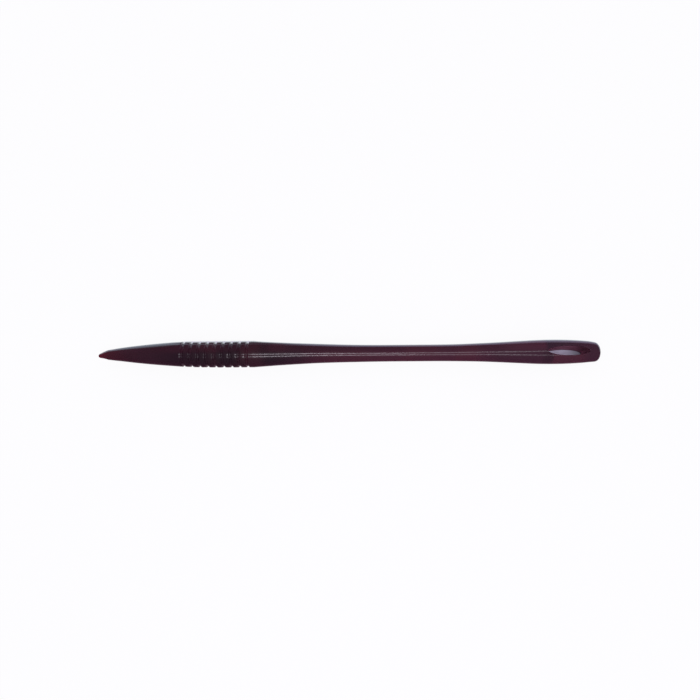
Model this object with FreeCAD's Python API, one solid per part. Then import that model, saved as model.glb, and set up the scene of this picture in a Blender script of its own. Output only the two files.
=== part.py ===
import FreeCAD, Part
import math
import os

# A straight finesse worm for fishing: one soft, solid moulding, round in
# section all along.  From its tip it has a small ball point, a short steep
# cone, a long convex nose, a section of moulded rings, a slender shank with a
# waist, and a rounder head.  A long oval eye goes through the head from top to
# bottom, and the head ends in a small flat face.
#
# The worm lies along X, with its tip at -X and its blunt end at +X.  The
# origin is at the middle of its length, on the surface that it lies on, and
# +Z is up.  Every length is in millimetres.

# --- point and nose ---------------------------------------------------------
tip_ball_radius = 0.66          # the rounded end of the point
point_length = 3.0              # tip to the end of the short steep cone
point_radius = 1.49             # radius where that cone meets the nose
nose_length = 22.7              # end of the cone to the first groove
nose_bulge = 0.26               # how far the nose stands out from a plain cone

# --- moulded rings ----------------------------------------------------------
groove_count = 9                # one ring stands between two grooves
groove_pitch = 2.43
groove_mouth = 1.00             # width of a groove at the ring's surface
groove_floor = 0.40             # width of its flat bottom
groove_depth = 0.42
ring_edge_bevel = 0.12          # depth of the broken edge of a ring
front_ring_radius = 3.82        # outer radius just before the first groove
back_ring_radius = 4.00         # outer radius after the last groove
last_land_length = 1.26         # plain band between the last groove and shank

# --- shank ------------------------------------------------------------------
fore_shank_length = 42.3        # plain band to the waist, one hollow curve
waist_length = 11.6             # the straight, thinnest stretch
waist_radius = 2.54
neck_length = 37.3              # waist to the widest place of the head

# --- head -------------------------------------------------------------------
head_radius = 3.74              # at its widest place
head_length = 13.8              # from there to the blunt end
end_edge_radius = 1.46          # rounding round the blunt end
end_face_radius = 1.57          # the flat face that this rounding leaves
end_taper = 9.1                 # degrees between the head's side and the axis

# --- eye through the head ---------------------------------------------------
eye_length = 12.7               # at mid-height, like the next two
eye_width = 2.72
eye_end_wall = 3.45             # material between the eye and the blunt end
eye_draft = 1.5                 # degrees that each wall leans in, going down
eye_lip = 0.15                  # size of the broken edge round both rims

# The neck leaves the waist level, climbs, and comes level again at the head.
NECK_STEEPNESS = 1.63           # 1 is one straight cone, 2 is two arcs and no cone
NECK_HOLLOW_SHARE = 0.74        # of both arcs' radii, how much the hollow one has

# How far the head's curve keeps the direction of each end, as a share of it.
HEAD_EASE = 0.33
END_EASE = 0.24

FULL_TURN = 360
AXIS = FreeCAD.Vector(1, 0, 0)


def at(station, radius):
    """A point of the profile, this far from the tip and from the axis."""
    return FreeCAD.Vector(station, radius, 0)


def line(start, end):
    return Part.LineSegment(start, end).toShape()


def arc(start, middle, end):
    return Part.Arc(start, middle, end).toShape()


def curve(start, start_handle, end_handle, end):
    bezier = Part.BezierCurve()
    bezier.setPoles([start, start_handle, end_handle, end])
    return bezier.toShape()


def on_circle(centre, radius, degrees):
    turn = math.radians(degrees)
    return centre + FreeCAD.Vector(radius * math.cos(turn), radius * math.sin(turn), 0)


def point_edges():
    """The ball at the tip, and the steep cone that is tangent to it."""
    ball = at(tip_ball_radius, 0)
    cone_end = at(point_length, point_radius)
    reach = cone_end - ball
    lean = math.degrees(math.atan2(reach.y, reach.x))
    meet = lean + math.degrees(math.acos(tip_ball_radius / reach.Length))
    touch = on_circle(ball, tip_ball_radius, meet)
    halfway = on_circle(ball, tip_ball_radius, (180 + meet) / 2)
    return [arc(at(0, 0), halfway, touch), line(touch, cone_end)]


def nose_edge(start, end):
    """One arc, which stands nose_bulge out from the straight line."""
    along = end - start
    outward = FreeCAD.Vector(-along.y, along.x, 0).normalize()
    return arc(start, (start + end) * 0.5 + outward * nose_bulge, end)


def ring_radius(share):
    """Outer radius of the rings, share going from 0 before them to 1 after them."""
    return back_ring_radius - (back_ring_radius - front_ring_radius) * (1 - share) ** 2


def groove_points(centre, before, after):
    """A broken edge and a steep wall on both sides of a flat floor.

    The rings before and after the groove each have a radius of their own.
    """
    bevel_reach = groove_mouth / 2 - ring_edge_bevel
    return [
        at(centre - groove_mouth / 2, before),
        at(centre - bevel_reach, before - ring_edge_bevel),
        at(centre - groove_floor / 2, before - groove_depth),
        at(centre + groove_floor / 2, before - groove_depth),
        at(centre + bevel_reach, after - ring_edge_bevel),
        at(centre + groove_mouth / 2, after),
    ]


def ring_edges(start):
    """All the grooves from this station on, with the rings' level lands between."""
    points = []
    for number in range(groove_count):
        centre = start + groove_mouth / 2 + number * groove_pitch
        before = ring_radius(number / groove_count)
        after = ring_radius((number + 1) / groove_count)
        points += groove_points(centre, before, after)
    shoulder = points[-1] + at(last_land_length, 0)
    points.append(shoulder)
    return [line(a, b) for a, b in zip(points, points[1:])], shoulder


def level_arc(start, level_end):
    """An arc that comes level with the axis at its end."""
    along = level_end.x - start.x
    rise = start.y - level_end.y
    radius = (along * along + rise * rise) / (2 * rise)
    centre = level_end + at(0, radius)
    turn = math.degrees(math.atan2(start.x - centre.x, centre.y - start.y))
    return arc(start, on_circle(centre, radius, -90 + turn / 2), level_end)


def neck_edges(waist_end, widest):
    """A hollow arc, a cone and a full arc, each tangent to the next."""
    along = widest.x - waist_end.x
    rise = widest.y - waist_end.y
    slope = NECK_STEEPNESS * math.atan2(rise, along)
    sine, versine = math.sin(slope), 1 - math.cos(slope)
    cone_length = (rise * sine - along * versine) / versine
    both_radii = (along - cone_length * math.cos(slope)) / sine
    hollow = NECK_HOLLOW_SHARE * both_radii
    full = both_radii - hollow
    degrees = math.degrees(slope)

    hollow_centre = waist_end + at(0, hollow)
    full_centre = widest - at(0, full)
    cone_start = on_circle(hollow_centre, hollow, -90 + degrees)
    cone_end = on_circle(full_centre, full, 90 + degrees)
    return [
        arc(waist_end, on_circle(hollow_centre, hollow, -90 + degrees / 2), cone_start),
        line(cone_start, cone_end),
        arc(cone_end, on_circle(full_centre, full, 90 + degrees / 2), widest),
    ]


def head_edges(widest):
    """From the widest place to the blunt end: a curve, the rounding, the face."""
    taper = math.radians(end_taper)
    rounding = at(widest.x + head_length - end_edge_radius, end_face_radius)
    side = on_circle(rounding, end_edge_radius, 90 - end_taper)
    halfway = on_circle(rounding, end_edge_radius, (90 - end_taper) / 2)
    face_edge = rounding + at(end_edge_radius, 0)
    face_centre = at(face_edge.x, 0)
    span = side.x - widest.x
    end_handle = side + at(-math.cos(taper), math.sin(taper)) * (END_EASE * span)
    return [
        curve(widest, widest + at(HEAD_EASE * span, 0), end_handle, side),
        arc(side, halfway, face_edge),
        line(face_edge, face_centre),
    ], face_centre


def profile():
    """The closed half outline, and the length that its parts add up to."""
    nose_start = at(point_length, point_radius)
    nose_end = at(point_length + nose_length, front_ring_radius)
    rings, shoulder = ring_edges(nose_end.x)
    waist_start = at(shoulder.x + fore_shank_length, waist_radius)
    waist_end = waist_start + at(waist_length, 0)
    widest = at(waist_end.x + neck_length, head_radius)
    head, face_centre = head_edges(widest)

    edges = point_edges() + [nose_edge(nose_start, nose_end)] + rings
    edges += [level_arc(shoulder, waist_start), line(waist_start, waist_end)]
    edges += neck_edges(waist_end, widest) + head
    edges.append(line(face_centre, at(0, 0)))
    return Part.Wire(edges), face_centre.x


def eye_cutter(length):
    """An oval plug, wider at the top than at the bottom by its draft."""
    centre = length - eye_end_wall - eye_length / 2
    lean = math.tan(math.radians(eye_draft))
    reach = 2 * head_radius

    def oval(height):
        half_length = eye_length / 2 + lean * height
        half_width = eye_width / 2 + lean * height
        ellipse = Part.Ellipse(FreeCAD.Vector(centre, 0, height), half_length, half_width)
        return Part.Wire(ellipse.toShape())

    return Part.makeLoft([oval(-reach), oval(reach)], True, True)


def eye_rims(solid, length):
    """The edges where the eye's wall meets the outside of the head."""
    found = []
    for edge in solid.Edges:
        box = edge.BoundBox
        inside = box.XMin > length - eye_end_wall - eye_length - 1 and box.XMax < length - end_edge_radius
        narrow = box.YMax < eye_width and box.YMin > -eye_width
        if inside and narrow and box.ZLength < head_radius:
            found.append(edge)
    return found


def make_worm():
    outline, length = profile()
    solid = Part.Face(outline).revolve(at(0, 0), AXIS, FULL_TURN)
    solid = solid.cut(eye_cutter(length))
    solid = solid.makeChamfer(eye_lip, eye_rims(solid, length)).Solids[0]
    solid.translate(FreeCAD.Vector(-length / 2, 0, back_ring_radius))
    return solid


os.makedirs("parts", exist_ok=True)
worm = make_worm()
worm.exportStep("parts/worm_body.step")
print("worm_body:", worm.ShapeType, "valid", worm.isValid(), "volume", round(worm.Volume, 1))
print("box", worm.optimalBoundingBox())
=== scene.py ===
import math

import bmesh
import bpy
import numpy as np
from mathutils import Matrix, Quaternion, Vector


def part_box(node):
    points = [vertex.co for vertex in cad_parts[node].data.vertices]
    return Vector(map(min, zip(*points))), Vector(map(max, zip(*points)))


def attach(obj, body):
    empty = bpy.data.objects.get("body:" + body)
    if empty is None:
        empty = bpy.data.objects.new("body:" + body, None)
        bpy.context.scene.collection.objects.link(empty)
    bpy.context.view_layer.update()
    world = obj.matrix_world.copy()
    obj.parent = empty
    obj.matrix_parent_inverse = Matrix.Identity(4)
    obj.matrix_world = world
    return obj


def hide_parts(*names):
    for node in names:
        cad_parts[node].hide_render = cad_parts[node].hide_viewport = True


# The looks of a straight soft plastic fishing worm.  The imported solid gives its
# place, length and thickness, and stays as the collision body.  A finely meshed
# skin of the same sizes stands for it to the eye, in a glossy dark wine plastic.
# Its grooves and its eye have round edges where the solid has bevels, and its
# centre line wanders a little.

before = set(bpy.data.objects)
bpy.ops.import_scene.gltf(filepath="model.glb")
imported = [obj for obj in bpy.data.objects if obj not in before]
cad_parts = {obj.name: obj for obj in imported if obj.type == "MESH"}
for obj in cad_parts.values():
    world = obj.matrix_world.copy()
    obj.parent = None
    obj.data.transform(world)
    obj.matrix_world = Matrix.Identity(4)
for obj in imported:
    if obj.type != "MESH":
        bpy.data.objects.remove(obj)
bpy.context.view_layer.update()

MM = 0.001
LOW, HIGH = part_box("worm_body")
TIP_X = LOW.x
LENGTH = (HIGH.x - LOW.x) / MM
AXIS_Z = (LOW.z + HIGH.z) / 2

# --- sizes of the worm, in millimetres, stations counted from the tip --------
TIP_BALL_RADIUS = 0.66
POINT_LENGTH = 3.0
POINT_RADIUS = 1.49
NOSE_LENGTH = 22.7
NOSE_BULGE = 0.26

GROOVE_COUNT = 9
GROOVE_PITCH = 2.43
GROOVE_MOUTH = 1.00
GROOVE_SHOULDER = 0.06          # how far its round shoulders reach past its mouth
GROOVE_FLOOR = 0.24             # width of its level bottom
GROOVE_DEPTH = 0.41
LAND_CROWN = 0.018              # how much lower a land is at its edges than in its middle
FRONT_RING_RADIUS = 3.82
BACK_RING_RADIUS = HIGH.z / MM / 2
LAST_LAND_LENGTH = 1.26
GROOVES_LENGTH = (GROOVE_COUNT - 1) * GROOVE_PITCH + GROOVE_MOUTH

FORE_SHANK_LENGTH = 42.3
WAIST_LENGTH = 11.6
WAIST_RADIUS = 2.54
NECK_LENGTH = 37.3
NECK_STEEPNESS = 1.63
NECK_HOLLOW_SHARE = 0.74

HEAD_RADIUS = 3.74
HEAD_LENGTH = 13.8
HEAD_EASE = 0.33
END_EASE = 0.24
END_EDGE_RADIUS = 1.46
END_FACE_RADIUS = 1.57
END_TAPER = math.radians(9.1)

EYE_LENGTH = 12.1               # at mid-height, like the next two
EYE_WIDTH = 2.72
EYE_END_WALL = 3.80
EYE_SIDE_LEAN = math.tan(math.radians(1.5))     # the way through narrows going down
EYE_END_LEAN = math.tan(math.radians(6.2))
EYE_LIP = 0.18                  # size of the rounding round both rims
EYE_DRIFT = -0.14               # how far the eye is moulded off the middle
EYE_CENTRE = LENGTH - EYE_END_WALL - EYE_LENGTH / 2

# How far the soft worm's centre line wanders to the side, by station.
WANDER = [
    (0, -0.27), (2.5, 0.0), (8, 0.10), (22, 0.10), (26, 0.05), (31, -0.09), (38, -0.13),
    (50, -0.08), (58, -0.04), (66, 0.0), (80, -0.07), (108, -0.06), (118, 0.0),
    (149.2, 0.0), (152.4, -0.13),
]

# --- how finely the skin is meshed -------------------------------------------
SMOOTH_STEP = 0.40              # millimetres along the nose and the fore shank
WAIST_STEP = 1.0
RING_STEP = 0.05
BALL_POINTS = 16
POINT_CONE_POINTS = 12
NECK_HOLLOW_POINTS = 60
NECK_CONE_POINTS = 24
NECK_FULL_POINTS = 24
HEAD_POINTS = 80
END_EDGE_POINTS = 20
END_FACE_POINTS = 8
ROWS_PER_SIDE = 44
EYE_STEPS = 96                  # along each side of the eye
LIP_STEPS = 8
WALL_STEPS = 10
CORNER_PASSES = 6               # each comes closer to where the eye's wall ends
WELD_DISTANCE = 0.002


# --- profile -----------------------------------------------------------------

def steps(length, step):
    return max(2, round(length / step) + 1)


def arc_points(centre, radius, start_angle, end_angle, count):
    angles = np.linspace(start_angle, end_angle, count)
    stations = centre[0] + radius * np.cos(angles)
    return np.column_stack([stations, centre[1] + radius * np.sin(angles)])


def point_section():
    """The ball at the tip and the short steep cone tangent to it."""
    reach = np.array([POINT_LENGTH - TIP_BALL_RADIUS, POINT_RADIUS])
    meet = math.atan2(reach[1], reach[0]) + math.acos(TIP_BALL_RADIUS / np.hypot(*reach))
    ball = arc_points((TIP_BALL_RADIUS, 0), TIP_BALL_RADIUS, math.pi, meet, BALL_POINTS)
    cone = np.linspace(ball[-1], (POINT_LENGTH, POINT_RADIUS), POINT_CONE_POINTS)
    return np.vstack([ball, cone[1:]])


def nose_section():
    """A shallow arc, which stands NOSE_BULGE out from the straight line."""
    start = np.array([POINT_LENGTH, POINT_RADIUS])
    end = np.array([POINT_LENGTH + NOSE_LENGTH, FRONT_RING_RADIUS])
    share = np.linspace(0, 1, steps(NOSE_LENGTH, SMOOTH_STEP))[1:, None]
    outward = np.array([start[1] - end[1], end[0] - start[0]]) / np.hypot(*(end - start))
    return start + (end - start) * share + outward * NOSE_BULGE * 4 * share * (1 - share)


def ring_radius(share):
    """Outer radius of the rings, share going from 0 before them to 1 after them."""
    return BACK_RING_RADIUS - (BACK_RING_RADIUS - FRONT_RING_RADIUS) * (1 - share) ** 2


def ring_section(start):
    """Round-edged grooves, the slightly crowned lands between them and the last land."""
    length = GROOVES_LENGTH + LAST_LAND_LENGTH
    station = np.linspace(0, length, steps(length, RING_STEP))[1:]
    number = np.clip(np.round((station - GROOVE_MOUTH / 2) / GROOVE_PITCH), 0, GROOVE_COUNT - 1)
    from_centre = station - GROOVE_MOUTH / 2 - number * GROOVE_PITCH
    land = ring_radius((number + (from_centre > 0)) / GROOVE_COUNT)
    half_groove = GROOVE_MOUTH / 2 + GROOVE_SHOULDER
    from_floor = np.abs(from_centre) - GROOVE_FLOOR / 2
    from_floor = np.clip(from_floor / (half_groove - GROOVE_FLOOR / 2), 0, 1)
    half_land = GROOVE_PITCH / 2 - half_groove
    from_land = np.clip((GROOVE_PITCH / 2 - np.abs(from_centre)) / half_land, 0, 1)
    after_first = station > GROOVE_MOUTH / 2
    before_last = station < length - LAST_LAND_LENGTH - GROOVE_MOUTH / 2
    crown = np.where(after_first & before_last, LAND_CROWN, 0)
    depth = (GROOVE_DEPTH - crown) * (1 + np.cos(math.pi * from_floor)) / 2
    return np.column_stack([start + station, land - depth - crown * from_land ** 2])


def shank_section(start):
    """A hollow curve down to the waist, and the straight waist."""
    along = np.linspace(0, 1, steps(FORE_SHANK_LENGTH, SMOOTH_STEP))[1:]
    radius = WAIST_RADIUS + (BACK_RING_RADIUS - WAIST_RADIUS) * (1 - along) ** 2
    fore = np.column_stack([start + along * FORE_SHANK_LENGTH, radius])
    waist = np.linspace(fore[-1], fore[-1] + (WAIST_LENGTH, 0), steps(WAIST_LENGTH, WAIST_STEP))
    return np.vstack([fore, waist[1:]])


def neck_section(start):
    """A hollow arc, a cone and a full arc up to the widest place of the head."""
    rise = HEAD_RADIUS - WAIST_RADIUS
    slope = NECK_STEEPNESS * math.atan2(rise, NECK_LENGTH)
    sine, versine = math.sin(slope), 1 - math.cos(slope)
    cone = (rise * sine - NECK_LENGTH * versine) / versine
    both_radii = (NECK_LENGTH - cone * math.cos(slope)) / sine
    hollow = NECK_HOLLOW_SHARE * both_radii
    full = both_radii - hollow
    down, up = -math.pi / 2, math.pi / 2
    lower_centre = (start, WAIST_RADIUS + hollow)
    lower = arc_points(lower_centre, hollow, down, down + slope, NECK_HOLLOW_POINTS)
    upper_centre = (start + NECK_LENGTH, HEAD_RADIUS - full)
    upper = arc_points(upper_centre, full, up + slope, up, NECK_FULL_POINTS)
    straight = np.linspace(lower[-1], upper[0], NECK_CONE_POINTS)
    return np.vstack([lower[1:], straight[1:], upper[1:]])


def head_section(start):
    """The head's long curve, the rounding at its end and the flat face."""
    rounding = np.array([start + HEAD_LENGTH - END_EDGE_RADIUS, END_FACE_RADIUS])
    side_angle = math.pi / 2 - END_TAPER
    side = rounding + END_EDGE_RADIUS * np.array([math.cos(side_angle), math.sin(side_angle)])
    widest = np.array([start, HEAD_RADIUS])
    span = side[0] - start
    first = widest + (HEAD_EASE * span, 0)
    second = side + END_EASE * span * np.array([-math.cos(END_TAPER), math.sin(END_TAPER)])
    t = np.linspace(0, 1, HEAD_POINTS)[1:, None]
    curve = (1 - t) ** 3 * widest + 3 * (1 - t) ** 2 * t * first
    curve = curve + 3 * (1 - t) * t ** 2 * second + t ** 3 * side
    edge = arc_points(rounding, END_EDGE_RADIUS, side_angle, 0, END_EDGE_POINTS)
    face = np.linspace(edge[-1], (edge[-1][0], 0), END_FACE_POINTS)
    return np.vstack([curve, edge[1:], face[1:]])


def worm_profile():
    """(station, radius) points of the half outline, from the tip to the face's centre."""
    sections = [point_section(), nose_section()]
    for next_section in (ring_section, shank_section, neck_section, head_section):
        start = sections[-1][-1][0]
        sections.append(next_section(start))
    return np.vstack(sections)


# --- skin ---------------------------------------------------------------------

def wander(station):
    """How far to the side the centre line is here, level at each listed station."""
    for (start, low), (end, high) in zip(WANDER, WANDER[1:]):
        if station <= end:
            share = max(0.0, (station - start) / (end - start))
            return low + (high - low) * share * share * (3 - 2 * share)
    return WANDER[-1][1]


def place(station, side, up):
    """Millimetres along, beside and above the worm's axis, in the row frame."""
    return (TIP_X + station * MM, (side + wander(station)) * MM, AXIS_Z + up * MM)


class Eye:
    """The oval way through the head, with leaning walls and rounded rims."""

    def __init__(self, profile):
        before_rounding = profile[:, 0] < LENGTH - END_EDGE_RADIUS
        self.profile = profile[before_rounding]

    def radius(self, station):
        """The worm's outer radius here, anywhere before the rounding at its end."""
        return np.interp(station, self.profile[:, 0], self.profile[:, 1])

    def oval(self, turn, height):
        """The wall's station and side at this height."""
        half_length = EYE_LENGTH / 2 + EYE_END_LEAN * height
        half_width = EYE_WIDTH / 2 + EYE_SIDE_LEAN * height
        station = EYE_CENTRE + half_length * math.cos(turn)
        return station, EYE_DRIFT + half_width * math.sin(turn)

    def outward(self, turn):
        """The direction from the way through into the plastic."""
        normal = np.array([math.cos(turn) / EYE_LENGTH, math.sin(turn) / EYE_WIDTH])
        return normal / np.hypot(*normal)

    def surface(self, station, side, up_sign):
        """How high over the axis, or how low under it, the worm's outside is."""
        return up_sign * math.sqrt(self.radius(station) ** 2 - side ** 2)

    def corner(self, turn, up_sign):
        """Where the wall would meet the outside if its edge were sharp."""
        height = up_sign * HEAD_RADIUS
        for _ in range(CORNER_PASSES):
            station, side = self.oval(turn, height)
            height = self.surface(station, side, up_sign)
        return np.array([station, side, height])

    def rim(self, turn, up_sign):
        """The outer edge of the rounded lip."""
        station, side, _ = self.corner(turn, up_sign)
        offset = self.outward(turn) * EYE_LIP
        station, side = station + offset[0], side + offset[1]
        return np.array([station, side, self.surface(station, side, up_sign)])

    def section(self, turn):
        """The wall's points at this turn, from the top rim to the bottom rim."""
        lips = []
        for up_sign in (1, -1):
            corner = self.corner(turn, up_sign)
            rim = self.rim(turn, up_sign)
            wall_height = corner[2] - up_sign * EYE_LIP
            wall = np.array([*self.oval(turn, wall_height), wall_height])
            t = np.linspace(0, 1, LIP_STEPS + 1)[:, None]
            lips.append((1 - t) ** 2 * rim + 2 * (1 - t) * t * corner + t ** 2 * wall)
        wall = np.linspace(lips[0][-1], lips[1][-1], WALL_STEPS + 1)
        return np.vstack([lips[0], wall[1:-1], lips[1][::-1]])


def outside_columns(profile, eye, side_sign):
    """Lines down one side of the worm, from its top to its bottom.

    Each is (top station, top angle, bottom station, bottom angle, radius).  The
    angles are how far the line's ends stay from straight up and straight down.
    Beside the eye the lines start and end at its two rims, and the radius is
    None, because the station changes on the way down.
    """
    turns = side_sign * np.linspace(math.pi, 0, EYE_STEPS + 1)
    rims = [(eye.rim(turn, 1), eye.rim(turn, -1)) for turn in turns]
    first, last = rims[0][0][0], rims[-1][0][0]
    gap = SMOOTH_STEP / 2
    columns = [(p[0], 0, p[0], 0, p[1]) for p in profile if p[0] < first - gap]
    for top, bottom in rims:
        top_open = math.atan2(side_sign * top[1], top[2])
        bottom_open = math.atan2(side_sign * bottom[1], -bottom[2])
        columns.append((top[0], top_open, bottom[0], bottom_open, None))
    columns += [(p[0], 0, p[0], 0, p[1]) for p in profile if p[0] > last + gap]
    return columns


def skin_mesh():
    """A sheet down each side of the worm, and the wall of the eye between them."""
    profile = worm_profile()
    eye = Eye(profile)
    points = []
    faces = []

    def grid(rows):
        """Adds a sheet of quads over equally long rows of points."""
        first = len(points)
        width = len(rows[0])
        for row in rows:
            points.extend(row)
        for i in range(len(rows) - 1):
            for j in range(width - 1):
                a = first + i * width + j
                faces.append((a, a + 1, a + width + 1, a + width))

    for side_sign in (1, -1):
        columns = outside_columns(profile, eye, side_sign)
        rows = []
        for top_station, top_open, bottom_station, bottom_open, radius in columns:
            share = np.linspace(0, 1, ROWS_PER_SIDE + 1)
            angles = top_open + (math.pi - bottom_open - top_open) * share
            stations = top_station + (bottom_station - top_station) * share
            radii = np.full_like(share, radius) if radius is not None else eye.radius(stations)
            row = [place(s, side_sign * r * math.sin(a), r * math.cos(a))
                   for s, r, a in zip(stations, radii, angles)]
            rows.append(row if side_sign > 0 else row[::-1])
        grid(rows)
    turns = np.linspace(0, 2 * math.pi, 2 * EYE_STEPS + 1)
    grid([[place(*point) for point in eye.section(turn)] for turn in turns])

    mesh = bpy.data.meshes.new("worm_skin")
    mesh.from_pydata(points, [], faces)
    return mesh


def make_skin():
    """The sheets welded into one closed skin."""
    mesh = skin_mesh()
    work = bmesh.new()
    work.from_mesh(mesh)
    bmesh.ops.remove_doubles(work, verts=work.verts, dist=WELD_DISTANCE * MM)
    bmesh.ops.recalc_face_normals(work, faces=work.faces)
    work.to_mesh(mesh)
    work.free()
    mesh.shade_smooth()
    skin = bpy.data.objects.new("worm_skin", mesh)
    bpy.context.scene.collection.objects.link(skin)
    return skin


# --- materials ------------------------------------------------------------------

class Nodes:
    """A short way to write a node tree."""

    def __init__(self, tree):
        self.tree = tree
        self.tree.nodes.clear()

    def add(self, kind, settings=None, **inputs):
        """A new node.  An input is given by its name, or as i0, i1 and so on by its number."""
        node = self.tree.nodes.new(kind)
        for name, value in (settings or {}).items():
            setattr(node, name, value)
        for name, value in inputs.items():
            by_number = name[0] == "i" and name[1:].isdigit()
            key = int(name[1:]) if by_number else name.replace("_", " ")
            self.put(node.inputs[key], value)
        return node

    def put(self, socket, value):
        if isinstance(value, bpy.types.NodeSocket):
            self.tree.links.new(value, socket)
        else:
            socket.default_value = value

    def math(self, operation, a, b=0.0, c=0.0):
        return self.add("ShaderNodeMath", {"operation": operation}, i0=a, i1=b, i2=c).outputs[0]

    def length(self, a, b):
        squares = self.math("ADD", self.math("MULTIPLY", a, a), self.math("MULTIPLY", b, b))
        return self.math("SQRT", squares)

    def away(self, value, middle):
        """How far value is from middle, to either side."""
        return self.math("ABSOLUTE", self.math("SUBTRACT", value, middle))

    def noise(self, vector, scale, detail):
        node = self.add("ShaderNodeTexNoise", Vector=vector, Scale=scale, Detail=detail,
                        Roughness=0.5)
        return node.outputs["Fac"]

    def smooth(self, value, limits, results=(0.0, 1.0)):
        """A smooth step: value goes from one limit to the other, the result likewise."""
        node = self.add("ShaderNodeMapRange", {"interpolation_type": "SMOOTHSTEP"},
                        Value=value, From_Min=limits[0], From_Max=limits[1],
                        To_Min=results[0], To_Max=results[1])
        return node.outputs["Result"]

    def brighter(self, colour, times):
        node = self.add("ShaderNodeVectorMath", {"operation": "SCALE"}, i0=colour, Scale=times)
        return node.outputs[0]

    def mix(self, factor, a, b):
        node = self.add("ShaderNodeMix", {"data_type": "RGBA"}, Factor=factor, i6=a, i7=b)
        return node.outputs[2]

    def mix_shaders(self, factor, a, b):
        return self.add("ShaderNodeMixShader", Fac=factor, i1=a, i2=b).outputs[0]

    def diffuse(self, colour):
        return self.add("ShaderNodeBsdfDiffuse", Color=colour).outputs[0]

    def emission(self, colour):
        return self.add("ShaderNodeEmission", Color=colour, Strength=1.0).outputs[0]

    def split(self, vector):
        parts = self.add("ShaderNodeSeparateXYZ", Vector=vector)
        return parts.outputs["X"], parts.outputs["Y"], parts.outputs["Z"]

    def ramp(self, x, tones):
        """A colour by station, from (station in millimetres, colour) stops."""
        share = self.math("DIVIDE", self.math("SUBTRACT", x, TIP_X), LENGTH * MM)
        ramp = self.add("ShaderNodeValToRGB", Fac=share)
        stops = ramp.color_ramp.elements
        while len(stops) < len(tones):
            stops.new(1.0)
        for stop, (station, colour) in zip(stops, tones):
            stop.position = station / LENGTH
            stop.color = colour
        return ramp.outputs["Color"]


def new_material(name):
    material = bpy.data.materials.new(name)
    material.use_nodes = True
    return material, Nodes(material.node_tree)


def screen(red, green, blue):
    """The linear colour that a screen shows as these 0 to 255 values."""
    shares = [value / 255 for value in (red, green, blue)]
    return (*[s / 12.92 if s < 0.04 else ((s + 0.055) / 1.055) ** 2.4 for s in shares], 1)


def millimetres(start, end):
    """A pair of limits, given in millimetres."""
    return start * MM, end * MM


# --- plastic --------------------------------------------------------------------

# Tones along the worm, by station: the side toward +Y, and the side toward -Y.
# They are darker and browner in the nose and redder in the shank. They also hold
# painted light and shade: the +Y side is painted lighter along the nose and rings,
# as if lit from there; the thin tip is painted crimson, as light shining through it;
# the -Y side is painted brighter past the eye's start, as light coming through the
# eye; and a painted shade lies as a dark cloud where the eye begins.
BACK_TONES_AND_LIGHT = [
    (0.0, screen(88, 14, 31)), (1.2, screen(80, 16, 33)), (3.5, screen(64, 22, 34)),
    (8.0, screen(54, 23, 36)), (13.0, screen(49, 20, 34)), (18.0, screen(47, 20, 32)),
    (24.0, screen(49, 20, 33)), (36.0, screen(45, 18, 31)), (42.0, screen(43, 18, 31)),
    (48.0, screen(37, 17, 28)), (50.5, screen(38, 17, 29)), (53.5, screen(52, 21, 35)),
    (61.0, screen(49, 22, 34)), (75.0, screen(54, 24, 38)), (90.0, screen(57, 24, 39)),
    (110.0, screen(59, 26, 42)), (121.0, screen(59, 28, 43)), (127.0, screen(67, 32, 48)),
    (135.3, screen(67, 31, 48)), (136.2, screen(49, 28, 43)), (141.0, screen(55, 32, 46)),
    (148.0, screen(58, 29, 45)), (152.4, screen(58, 31, 46)),
]
FRONT_TONES_AND_LIGHT = [
    (0.0, screen(88, 14, 31)), (1.2, screen(78, 16, 33)), (3.5, screen(60, 19, 32)),
    (10.0, screen(47, 18, 31)), (17.0, screen(45, 20, 33)), (24.0, screen(36, 18, 29)),
    (42.0, screen(32, 18, 27)), (54.0, screen(35, 19, 30)), (61.0, screen(46, 23, 36)),
    (66.0, screen(58, 26, 41)), (72.0, screen(65, 29, 43)), (100.0, screen(67, 30, 46)),
    (116.0, screen(65, 29, 46)), (121.0, screen(58, 29, 44)), (134.0, screen(57, 30, 45)),
    (135.6, screen(50, 27, 40)), (137.4, screen(50, 27, 40)), (138.2, screen(69, 32, 47)),
    (146.0, screen(69, 32, 47)), (149.0, screen(58, 30, 45)), (152.4, screen(57, 30, 45)),
]
TONES_MEET = millimetres(-0.9, 0.9)             # across the worm

# Weak redder patches, by one noise.  Where it is high, the plastic is also a
# little rougher.  Each pair of limits goes with the pair of results beside it.
WINE_RED = screen(84, 24, 42)
PATCH_SCALE, PATCH_DETAIL = 90.0, 1.5
PATCH_LIMITS, PATCH_STRENGTH = (0.48, 0.75), (0.0, 0.22)
ROUGHNESS_LIMITS, ROUGHNESS = (0.3, 0.7), (0.20, 0.28)

# Painted light: the floors of the grooves are painted a little brighter than the
# lands, to lift the shade that falls in them.
GROOVE_PAINTED_LIGHT = 1.25
GROOVE_EDGE = millimetres(0.60, 0.15)           # from the middle of each groove
PAST_LAST_GROOVE = (0.9, 0.7)                   # likewise, beyond the first and the last

# Painted light and shade on the eye's wall: it goes from a lit pink to a shaded dark
# along it, and is painted brighter going down, in place of the light that comes
# through the plastic there.
EYE_X = TIP_X + EYE_CENTRE * MM
WALL_LIT_PINK = screen(150, 102, 124)
WALL_SHADED_DARK = screen(98, 52, 72)
WALL_TURNS_SHADED = (EYE_X - 1.5 * MM, EYE_X + 6.0 * MM)
WALL_DEPTH, WALL_PAINTED_LIGHT = millimetres(-3.0, 2.5), (0.7, 2.2)
WALL_ROUGHER = 0.25
WALL_EDGE = millimetres(0.07, 0.01)             # outward from the wall
WALL_COLOUR_EDGE = millimetres(3.4, 2.2)        # up and down from the axis

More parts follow.
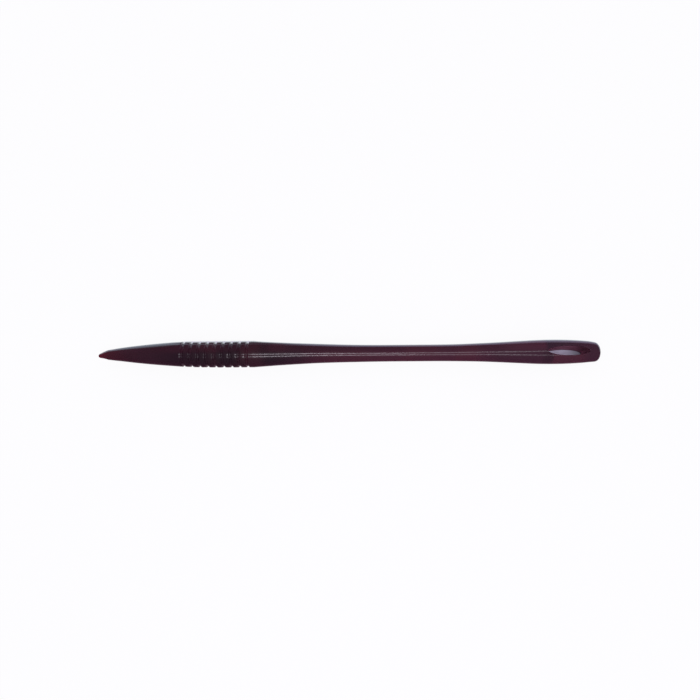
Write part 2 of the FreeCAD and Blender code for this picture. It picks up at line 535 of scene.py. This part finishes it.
# A fine grain and long low waves, everywhere but on the eye's wall.
GRAIN_SCALE, GRAIN_DETAIL = 2400.0, 1.0
GRAIN_STRENGTH, GRAIN_HEIGHT = 0.40, 0.03 * MM
WAVE_SCALE, WAVE_DETAIL = 260.0, 2.0
WAVE_STRENGTH, WAVE_HEIGHT = 0.20, 0.05 * MM
PLASTIC_IOR = 1.50
COAT_ROUGHNESS = 0.06


def eye_masks(nodes, x, y, z):
    """Two masks: 1 on the whole wall of the eye, and 1 on it away from its rims."""
    height = nodes.math("SUBTRACT", z, AXIS_Z)
    half_length = nodes.math("MULTIPLY_ADD", height, EYE_END_LEAN, EYE_LENGTH / 2 * MM)
    half_width = nodes.math("MULTIPLY_ADD", height, EYE_SIDE_LEAN, EYE_WIDTH / 2 * MM)
    along = nodes.math("DIVIDE", nodes.math("SUBTRACT", x, EYE_X), half_length)
    across = nodes.math("DIVIDE", nodes.math("SUBTRACT", y, EYE_DRIFT * MM), half_width)
    reach = nodes.length(along, across)
    slope = nodes.length(nodes.math("DIVIDE", along, half_length),
                         nodes.math("DIVIDE", across, half_width))
    outward = nodes.math("MULTIPLY", reach, nodes.math("SUBTRACT", reach, 1.0))
    outward = nodes.math("DIVIDE", outward, slope)
    on_wall = nodes.smooth(outward, WALL_EDGE)
    inside = nodes.smooth(nodes.math("ABSOLUTE", height), WALL_COLOUR_EDGE)
    return on_wall, nodes.math("MULTIPLY", on_wall, inside)


def groove_light_mask(nodes, x):
    """Where the painted light goes: 1 on the floor of each groove, 0 elsewhere."""
    first = TIP_X + (POINT_LENGTH + NOSE_LENGTH + GROOVE_MOUTH / 2) * MM
    half_span = (GROOVE_COUNT - 1) * GROOVE_PITCH / 2 * MM
    from_first = nodes.math("SUBTRACT", x, first)
    from_floor = nodes.math("PINGPONG", from_first, GROOVE_PITCH / 2 * MM)
    ends = [half_span + past * MM for past in PAST_LAST_GROOVE]
    among_grooves = nodes.smooth(nodes.away(from_first, half_span), ends)
    return nodes.math("MULTIPLY", nodes.smooth(from_floor, GROOVE_EDGE), among_grooves)


def wall_colour_and_light(nodes, x, z):
    """The colour of the eye's wall with its painted light and shade, along it and down it."""
    colour = nodes.mix(nodes.smooth(x, WALL_TURNS_SHADED), WALL_LIT_PINK, WALL_SHADED_DARK)
    depth = nodes.math("SUBTRACT", AXIS_Z, z)
    return nodes.brighter(colour, nodes.smooth(depth, WALL_DEPTH, WALL_PAINTED_LIGHT))


def worm_plastic():
    """Glossy, cloudy dark wine plastic, with painted light and shade in its tones, grooves and
    eye.
    """
    material, nodes = new_material("worm_plastic")
    position = nodes.add("ShaderNodeTexCoord").outputs["Object"]
    x, y, z = nodes.split(position)

    # Tones by side and station, which also hold painted light and shade.
    colour = nodes.mix(nodes.smooth(y, TONES_MEET),
                       nodes.ramp(x, FRONT_TONES_AND_LIGHT), nodes.ramp(x, BACK_TONES_AND_LIGHT))
    patches = nodes.noise(position, PATCH_SCALE, PATCH_DETAIL)
    colour = nodes.mix(nodes.smooth(patches, PATCH_LIMITS, PATCH_STRENGTH), colour, WINE_RED)
    # Painted light in the groove floors, against the shade there.
    colour = nodes.mix(groove_light_mask(nodes, x), colour, nodes.brighter(colour, GROOVE_PAINTED_LIGHT))
    on_wall, in_eye = eye_masks(nodes, x, y, z)
    # Painted light and shade on the eye's wall.
    colour = nodes.mix(in_eye, colour, wall_colour_and_light(nodes, x, z))
    roughness = nodes.smooth(patches, ROUGHNESS_LIMITS, ROUGHNESS)
    roughness = nodes.math("MULTIPLY_ADD", in_eye, WALL_ROUGHER, roughness)

    outside = nodes.math("SUBTRACT", 1.0, on_wall)
    grain = nodes.add("ShaderNodeBump", Distance=GRAIN_HEIGHT,
                      Strength=nodes.math("MULTIPLY", outside, GRAIN_STRENGTH),
                      Height=nodes.noise(position, GRAIN_SCALE, GRAIN_DETAIL))
    waves = nodes.add("ShaderNodeBump", Distance=WAVE_HEIGHT, Normal=grain.outputs["Normal"],
                      Strength=nodes.math("MULTIPLY", outside, WAVE_STRENGTH),
                      Height=nodes.noise(position, WAVE_SCALE, WAVE_DETAIL))

    normal = waves.outputs["Normal"]
    shader = nodes.add("ShaderNodeBsdfPrincipled", Base_Color=colour, Roughness=roughness,
                       Normal=normal, IOR=PLASTIC_IOR, Coat_Weight=1.0,
                       Coat_Roughness=COAT_ROUGHNESS, Coat_IOR=PLASTIC_IOR, Coat_Normal=normal)
    nodes.add("ShaderNodeOutputMaterial", Surface=shader.outputs["BSDF"])
    return material


# --- stage ------------------------------------------------------------------------

WHITE = (1, 1, 1, 1)
FLOOR_HALF_SIZE = 2.0                           # metres
FLOOR_LIT = (0.80, 0.75, 0.88, 1)               # as it lights the worm from below
FLOOR_SHADED = (0.73, 0.68, 0.88)               # as the camera sees it in the shadow
FLOOR_OPEN = 0.93                               # share of pure white out of the shadow


def grey(value):
    return (value, value, value, 1)


# How far the floor's shadow under the worm reaches to each side, by station, as
# a share of SHADOW_UNIT.  From above most of it stays hidden under the worm.
SHADOW_UNIT = 10 * MM
SHADOW_MIDDLE = 0.6 * MM                        # it lies a little toward +Y
SHADOW_SOFTNESS = 0.6 * MM
SHADOW_REACH = [
    (0, grey(0)), (8, grey(0)), (14, grey(0.24)), (25, grey(0.34)), (50, grey(0.35)),
    (75, grey(0.24)), (90, grey(0.21)), (103, grey(0.21)), (120, grey(0.27)),
    (138, grey(0.33)), (149, grey(0.28)), (152.4, grey(0.18)),
]
PAST_END = millimetres(73.0, 77.0)              # where it fades out at the blunt end

# A faint shadow just behind the rings.
RINGS_X = TIP_X + (POINT_LENGTH + NOSE_LENGTH + GROOVES_LENGTH / 2) * MM
BY_RINGS_ALONG = millimetres(12.0, 10.5)        # from the middle of the rings
BY_RINGS_ACROSS = millimetres(5.05, 4.45)

# Seen through the eye, the shaded floor grows darker toward the blunt end.
UNDER_EYE = (EYE_X - 0.5 * MM, EYE_X + 7.5 * MM)
UNDER_EYE_SHADE = (1.0, 0.26)

# What the worm's gloss mirrors of the floor: little from under the worm, a pale
# glow from behind it, by station further out, and a dim band before it.
UNDER_GLOW = (0.06, 0.02, 0.04, 1)
NEAR_GLOW = (0.84, 0.92, 1.0, 1)
FAR_GLOW = [
    (0, (0.66, 0.82, 1.0, 1)), (16, (0.66, 0.82, 1.0, 1)), (22, (0.12, 0.11, 0.15, 1)),
    (53, (0.12, 0.11, 0.15, 1)), (66, (0.64, 0.68, 0.94, 1)), (120, (0.64, 0.68, 0.94, 1)),
    (130, (0.56, 0.53, 0.76, 1)),
]
FRONT_GLOW = (0.24, 0.15, 0.19, 1)

# Where these start and end across the floor, toward +Y and toward -Y.
NEAR_GLOW_STARTS = millimetres(2.5, 5.0)
FAR_GLOW_STARTS = millimetres(9.5, 14.5)
FRONT_GLOW_STARTS = millimetres(-3.5, -4.5)
FRONT_GLOW_ENDS = millimetres(-8.0, -5.5)


def floor_for_camera(nodes, x, y):
    """Almost white, with a soft narrow shadow under the worm and behind its rings."""
    reach = nodes.math("MULTIPLY", nodes.ramp(x, SHADOW_REACH), SHADOW_UNIT)
    edge = nodes.math("SUBTRACT", reach, SHADOW_SOFTNESS)
    beside_worm = nodes.smooth(nodes.away(y, SHADOW_MIDDLE), (edge, reach))
    open_floor = nodes.math("MAXIMUM", nodes.smooth(x, PAST_END), beside_worm)
    by_rings = nodes.math("MULTIPLY", nodes.smooth(nodes.away(x, RINGS_X), BY_RINGS_ALONG),
                          nodes.smooth(y, BY_RINGS_ACROSS))
    by_rings = nodes.math("MULTIPLY", by_rings, nodes.math("GREATER_THAN", y, 0.0))
    open_floor = nodes.math("MAXIMUM", nodes.math("SUBTRACT", open_floor, by_rings), 0.0)

    shade = nodes.math("MAXIMUM", nodes.smooth(x, UNDER_EYE, UNDER_EYE_SHADE), open_floor)
    shaded = nodes.diffuse(nodes.brighter(FLOOR_SHADED, shade))
    seen_white = nodes.math("MULTIPLY", open_floor, FLOOR_OPEN)
    return nodes.mix_shaders(seen_white, shaded, nodes.emission(WHITE))


def floor_for_gloss(nodes, x, y):
    """The pale and dim bands that the worm's gloss mirrors."""
    behind = nodes.smooth(y, NEAR_GLOW_STARTS)
    far = nodes.smooth(y, FAR_GLOW_STARTS)
    before = nodes.math("MULTIPLY", nodes.smooth(y, FRONT_GLOW_STARTS),
                        nodes.smooth(y, FRONT_GLOW_ENDS))
    glow = nodes.mix(behind, UNDER_GLOW, nodes.mix(far, NEAR_GLOW, nodes.ramp(x, FAR_GLOW)))
    return nodes.emission(nodes.mix(before, glow, FRONT_GLOW))


def floor_material():
    """A pale lit floor, which the camera sees as white and the gloss as bands."""
    material, nodes = new_material("floor_white")
    x, y, _ = nodes.split(nodes.add("ShaderNodeNewGeometry").outputs["Position"])
    rays = nodes.add("ShaderNodeLightPath").outputs
    surface = nodes.mix_shaders(rays["Is Glossy Ray"], nodes.diffuse(FLOOR_LIT),
                                floor_for_gloss(nodes, x, y))
    surface = nodes.mix_shaders(rays["Is Camera Ray"], surface, floor_for_camera(nodes, x, y))
    nodes.add("ShaderNodeOutputMaterial", Surface=surface)
    return material


def make_floor():
    half = FLOOR_HALF_SIZE
    mesh = bpy.data.meshes.new("floor")
    corners = [(-half, -half, 0), (half, -half, 0), (half, half, 0), (-half, half, 0)]
    mesh.from_pydata(corners, [], [(0, 1, 2, 3)])
    mesh.materials.append(floor_material())
    floor = bpy.data.objects.new("floor", mesh)
    floor.location.z = LOW.z
    bpy.context.scene.collection.objects.link(floor)


WORLD_LIGHT = (1.0, 1.0, 1.02, 1)
WORLD_IN_GLOSS = (0.045, 0.028, 0.042, 1)

# A pale card low behind the worm's tip, in gloss alone, by direction.
CARD = (0.66, 0.84, 1.0, 1)
CARD_X, CARD_Y, CARD_Z = (-0.34, -0.46), (0.35, 0.65), (0.28, 0.0)


def make_world():
    """White to the camera, even light on the worm, and dim in its gloss."""
    world = bpy.data.worlds.new("studio")
    world.use_nodes = True
    bpy.context.scene.world = world
    nodes = Nodes(world.node_tree)
    rays = nodes.add("ShaderNodeLightPath").outputs
    x, y, z = nodes.split(nodes.add("ShaderNodeTexCoord").outputs["Generated"])
    card = nodes.math("MULTIPLY", nodes.smooth(x, CARD_X), nodes.smooth(z, CARD_Z))
    card = nodes.math("MULTIPLY", card, nodes.smooth(y, CARD_Y))
    in_gloss = nodes.mix(card, WORLD_IN_GLOSS, CARD)
    colour = nodes.mix(rays["Is Glossy Ray"], WORLD_LIGHT, in_gloss)
    colour = nodes.mix(rays["Is Camera Ray"], colour, WHITE)
    background = nodes.add("ShaderNodeBackground", Color=colour, Strength=1.0)
    nodes.add("ShaderNodeOutputWorld", Surface=background.outputs[0])


SENSOR_WIDTH = 36               # millimetres, like the next one
LENS = 30.83
CLIP_START = 0.01               # metres
AIM = Vector((0.5 * MM, 1.0 * MM, AXIS_Z))
CAMERA_DISTANCE = 183.2 * MM
CAMERA_ELEVATION = math.radians(80)
CAMERA_ROLL = math.radians(-0.404)


def make_camera():
    data = bpy.data.cameras.new("camera")
    data.sensor_width = SENSOR_WIDTH
    data.lens = LENS
    data.clip_start = CLIP_START
    camera = bpy.data.objects.new("camera", data)
    back = Vector((0, -math.cos(CAMERA_ELEVATION), math.sin(CAMERA_ELEVATION)))
    camera.location = AIM + CAMERA_DISTANCE * back
    camera.rotation_mode = "QUATERNION"
    level = (-back).to_track_quat("-Z", "Y")
    camera.rotation_quaternion = level @ Quaternion((0, 0, 1), CAMERA_ROLL)
    bpy.context.scene.collection.objects.link(camera)
    bpy.context.scene.camera = camera


STRIP_DISTANCE = 190 * MM
STRIP_WIDTH = 16 * MM
STRIP_COLOUR = (0.98, 0.90, 1.0)
STRIP_TILT = 22                 # degrees from straight up toward -Y, between both strips
STRIP_BENDS = [(-60, 10), (45, 13), (88, 16.5), (130, 20)]  # (X in mm, degrees to each side)
STRIP_RADIANCE = [4.8, 2.4, 1.5]                            # between each bend and the next


def strip_light(name, start, end, width, radiance):
    """A long flat lamp between two points, which faces the worm."""
    length = (end - start).length
    light = bpy.data.lights.new(name, "AREA")
    light.shape = "RECTANGLE"
    light.size, light.size_y = length, width
    light.energy = radiance * math.pi * length * width
    light.color = STRIP_COLOUR
    lamp = bpy.data.objects.new(name, light)
    middle = (start + end) / 2
    along = (end - start).normalized()
    toward = Vector((middle.x, 0, AXIS_Z)) - middle
    away = -(toward - toward.dot(along) * along).normalized()
    lamp.matrix_world = Matrix((along, away.cross(along), away)).transposed().to_4x4()
    lamp.matrix_world.translation = middle
    bpy.context.scene.collection.objects.link(lamp)


def make_lights():
    """Two long bent strips over the worm, which draw the double line along it."""
    for side_name, side in (("back", -1), ("front", 1)):
        bends = []
        for x, spread in STRIP_BENDS:
            tilt = math.radians(STRIP_TILT + side * spread)
            offset = STRIP_DISTANCE * Vector((0, -math.sin(tilt), math.cos(tilt)))
            bends.append(Vector((x * MM, 0, AXIS_Z)) + offset)
        for number, radiance in enumerate(STRIP_RADIANCE):
            name = f"strip_{side_name}_{number}"
            strip_light(name, bends[number], bends[number + 1], STRIP_WIDTH, radiance)


make_camera()
make_floor()
make_world()
make_lights()

skin = make_skin()
skin.data.materials.append(worm_plastic())
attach(skin, "root")
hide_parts("worm_body")

bpy.context.scene.view_settings.view_transform = "Standard"
